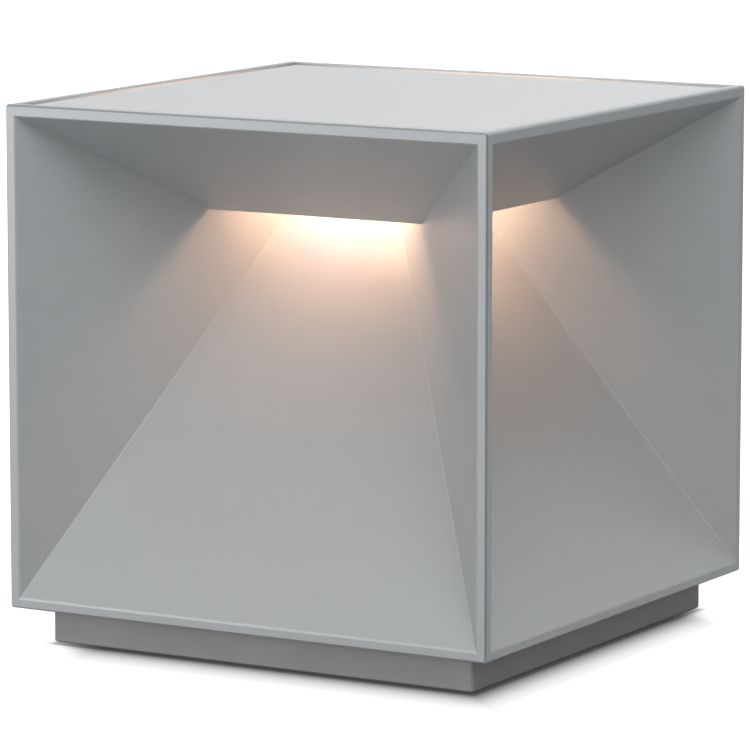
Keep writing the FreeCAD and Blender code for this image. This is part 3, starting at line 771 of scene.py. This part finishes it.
def make_inlet_contacts(gold):
    """Gold contacts on both faces of the charging inlet's tongue."""
    shape = bmesh.new()
    low, high = (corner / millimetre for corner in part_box("usb_socket"))
    row, level = high.y - contact_setback, (low.z + high.z) / 2
    for face in (-1, 1):
        for step in range(contact_count):
            x = (step - (contact_count - 1) / 2) * contact_pitch
            small_box(shape, (x, row, level + face * contact_rise), contact_size, contact_rounding)
    mesh_piece("inlet_contacts", shape, gold, "contact_metal")


def make_weld_dots(metal):
    """Spot welds where the nickel strips meet the cells."""
    shape = bmesh.new()
    low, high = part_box("cell_tabs")
    along = Matrix.Rotation(math.radians(90), 3, "Y")
    rows = (low.y + weld_inset * millimetre, high.y - weld_inset * millimetre)
    steps = (-weld_step * millimetre, weld_step * millimetre)
    for x, side in ((low.x, -1), (high.x, 1)):
        rings = circles([(radius, side * rise) for radius, rise in weld_profile])
        for y, dy, dz in itertools.product(rows, steps, steps):
            loft(shape, rings, (x, y + dy, (low.z + high.z) / 2 + dz), along)
    mesh_piece("weld_dots", shape, metal, "nickel")


def make_finishes():
    """Every material of the lamp, by name."""
    made = {"powder_coat": powder_coat()}
    kinds = ((moulded, moulded_finishes), (coated_metal, coated_finishes), (plated, metal_finishes),
             (glowing, glowing_finishes))
    for make, table in kinds:
        for name, values in table.items():
            made[name] = make(name, *values)
    return made


def dress(finishes):
    """Give every carried-over node its material."""
    for finish, names in wearers.items():
        for name in names:
            for slot in nodes[name].material_slots:
                slot.material = finishes[finish]


def make_details(finishes):
    """Make the detailed pieces, in the materials that the plain nodes wear."""
    steel, nickel, foam = finishes["screw_steel"], finishes["nickel"], finishes["foam_tape"]
    make_screws("plinth_screws", steel, **plinth_screw)
    make_screws("led_board_screws", steel, **led_board_screw)
    make_screws("board_screws", steel, **board_screw)
    make_feet(finishes["black_rubber"])
    make_leds(finishes["board_white"], finishes["led_phosphor"])
    make_cells(finishes["cell_wrap"], nickel, foam)
    make_board_parts(finishes["chip_black"], finishes["copper_wire"], foam, nickel)
    make_inlet_contacts(finishes["contact_metal"])
    make_weld_dots(nickel)


# Stage, lights and camera
def gain_near(material, corner):
    """How much narrower the floor's painted shadow gets towards a corner, where the mask is one."""
    rise = compute(material, "MULTIPLY", compute(material, "POWER", corner, corner_power), corner_gain - 1)
    return compute(material, "ADD", rise, 1.0)


def floor_white(material):
    """How white the floor is to the camera: dark at the plinth as a painted shadow, and growing outwards."""
    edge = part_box("plinth")[1].x
    parts = add(material, "ShaderNodeSeparateXYZ")
    link(material, place_of(material), parts.inputs["Vector"])
    x, y = parts.outputs["X"], parts.outputs["Y"]
    right_gain = gain_near(material, spread(material, y, 0.0, 1.0, source=(edge - corner_reach, edge)))
    front_gain = gain_near(material, spread(material, x, 1.0, 0.0, source=(-edge, corner_reach - edge)))
    sides = []
    for place, side, gain in ((x, 1, right_gain), (x, -1, left_gain),
                              (y, -1, front_gain), (y, 1, back_gain)):
        past = compute(material, "SUBTRACT", compute(material, "MULTIPLY", place, side), edge)
        sides.append(compute(material, "MULTIPLY", past, gain))
    away = compute(material, "MAXIMUM", either(material, *sides), 0.0)
    start = compute(material, "MULTIPLY", either(material, right_gain, front_gain), painted_shadow_start)
    away = compute(material, "ADD", away, start)
    shade = compute(material, "EXPONENT", compute(material, "MULTIPLY", away, -1 / painted_shadow_reach))
    return spread(material, shade, 0.0, white_end, source=(1.0, 0.0))


def floor_coat():
    """Plain grey floor with a white glow that only the camera sees, dimmed near the plinth as a painted
    shadow.
    """
    material = new_material("floor_white")
    plain = add(material, "ShaderNodeBsdfDiffuse")
    plain.inputs["Color"].default_value = (floor_tone, floor_tone, floor_tone, 1)
    seen = add(material, "ShaderNodeLightPath").outputs["Is Camera Ray"]
    glow = add(material, "ShaderNodeEmission")
    link(material, both(material, seen, floor_white(material)), glow.inputs["Strength"])
    whole = add(material, "ShaderNodeAddShader")
    link(material, plain.outputs["BSDF"], whole.inputs[0])
    link(material, glow.outputs["Emission"], whole.inputs[1])
    output = add(material, "ShaderNodeOutputMaterial")
    link(material, whole.outputs["Shader"], output.inputs["Surface"])
    return material


def make_floor():
    """Floor with the lamp's real shadow and a painted shadow, whose surroundings are plain white to the
    camera.
    """
    mesh = bpy.data.meshes.new("floor")
    shape = bmesh.new()
    bmesh.ops.create_grid(shape, x_segments=1, y_segments=1, size=floor_size / 2)
    shape.to_mesh(mesh)
    shape.free()
    mesh.materials.append(floor_coat())
    floor = bpy.data.objects.new("floor", mesh)
    bpy.context.collection.objects.link(floor)


def make_world():
    """Pale surroundings that only the camera sees, so they give no light."""
    world = bpy.data.worlds.new("studio")
    world.use_nodes = True
    bpy.context.scene.world = world
    tree = world.node_tree
    tree.nodes.clear()
    output = tree.nodes.new("ShaderNodeOutputWorld")
    background = tree.nodes.new("ShaderNodeBackground")
    path = tree.nodes.new("ShaderNodeLightPath")
    tree.links.new(path.outputs["Is Camera Ray"], background.inputs["Strength"])
    tree.links.new(background.outputs["Background"], output.inputs["Surface"])


def aim(obj, target):
    """Turn a light or a camera towards a point."""
    obj.rotation_mode = "QUATERNION"
    obj.rotation_quaternion = (Vector(target) - obj.location).to_track_quat("-Z", "Y")


def add_light(name, power, width, depth, place, colour=(1, 1, 1)):
    """New rectangular area light at a place, shining down."""
    data = bpy.data.lights.new(name, "AREA")
    data.energy = power
    data.shape = "RECTANGLE"
    data.size = width
    data.size_y = depth
    data.color = colour
    light = bpy.data.objects.new(name, data)
    bpy.context.collection.objects.link(light)
    light.location = place
    return light


def direction(azimuth, elevation):
    """Unit vector towards a place round the lamp, where azimuth 0 is the front."""
    turn, rise = math.radians(azimuth), math.radians(elevation)
    return Vector((math.sin(turn) * math.cos(rise), -math.cos(turn) * math.cos(rise), math.sin(rise)))


def make_studio_lights():
    """Soft boxes round the lamp."""
    for name, (azimuth, elevation, size, power) in soft_boxes.items():
        place = direction(azimuth, elevation) * light_distance
        aim(add_light(name, power, size, size, place), light_target)


def make_led_lights():
    """A warm bar of light under the lens of each side."""
    low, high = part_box("led_lenses")
    distance = high.x - led_lens_half
    for side, (x, y) in enumerate([(0, -1), (1, 0), (0, 1), (-1, 0)]):
        spot = Vector((x * distance, y * distance, low.z - led_clearance))
        light = add_light(f"led_{side}", led_power, led_bar_length, led_bar_width, spot, warm_light)
        light.rotation_euler = (0, 0, math.radians(90 * side))


def make_camera():
    """Camera that sees the lamp as the photograph does."""
    back = direction(camera_azimuth, camera_elevation)
    right = direction(camera_azimuth + 90, 0)
    up = back.cross(right)
    target = Vector((0, 0, aim_height)) + right * aim_right + up * aim_up
    data = bpy.data.cameras.new("camera")
    data.lens = lens_length
    data.sensor_width = sensor_width
    data.clip_start = camera_distance * clip_near_share
    data.clip_end = camera_distance * clip_far_share
    camera = bpy.data.objects.new("camera", data)
    bpy.context.collection.objects.link(camera)
    camera.location = target + back * camera_distance
    aim(camera, target)
    bpy.context.scene.camera = camera


lamp_finishes = make_finishes()
dress(lamp_finishes)
make_details(lamp_finishes)
make_floor()
make_world()
make_studio_lights()
make_led_lights()
make_camera()
bpy.context.scene.view_settings.view_transform = "Standard"
